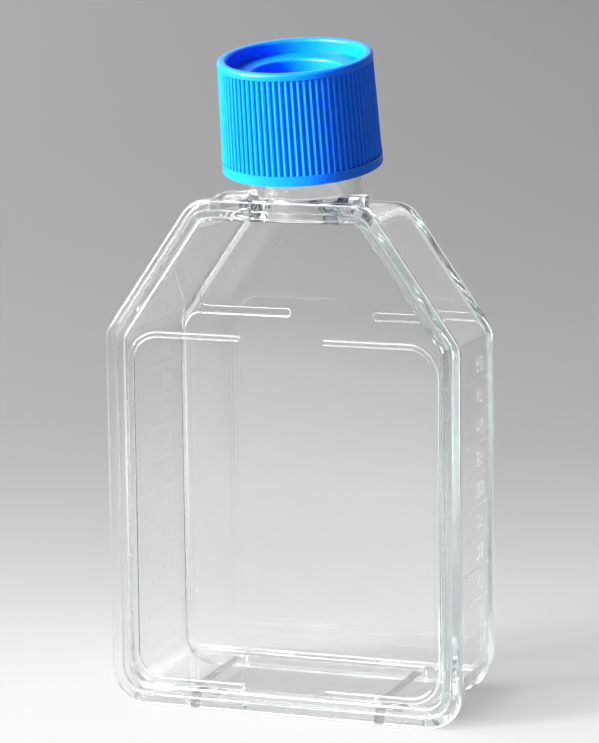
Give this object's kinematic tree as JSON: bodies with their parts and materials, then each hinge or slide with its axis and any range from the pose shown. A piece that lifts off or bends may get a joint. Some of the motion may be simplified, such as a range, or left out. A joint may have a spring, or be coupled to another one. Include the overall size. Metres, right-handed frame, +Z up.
{
  "type": "cell culture flask",
  "caption": "Clear rectangular culture flask with sloping shoulders and a neck canted forward, standing on its end, closed by a ribbed blue screw cap with a plug seal.",
  "frame": {"origin": "on the table, under the middle of the flask's overall width and depth", "axes": "+Z up along the standing flask, +X across its width, -Y the front, where the cover plate is and the neck leans"},
  "size_m": [0.0524, 0.0254, 0.0941],
  "materials": {
    "clear_plastic": "clear polished polystyrene",
    "clear_plate": "clear polished polystyrene",
    "blue_plastic": "moulded polyethylene, soft gloss"
  },
  "bodies": {
    "flask": {"flask_body": "clear_plastic", "cover_plate": "clear_plate"},
    "cap": {"screw_cap": "blue_plastic"}
  },
  "joints": [
    {"name": "cap_lift", "type": "slide", "parent": "flask", "child": "cap", "axis": [0, -0.165, 0.9863], "range_m": [0, 0.03]}
  ]
}
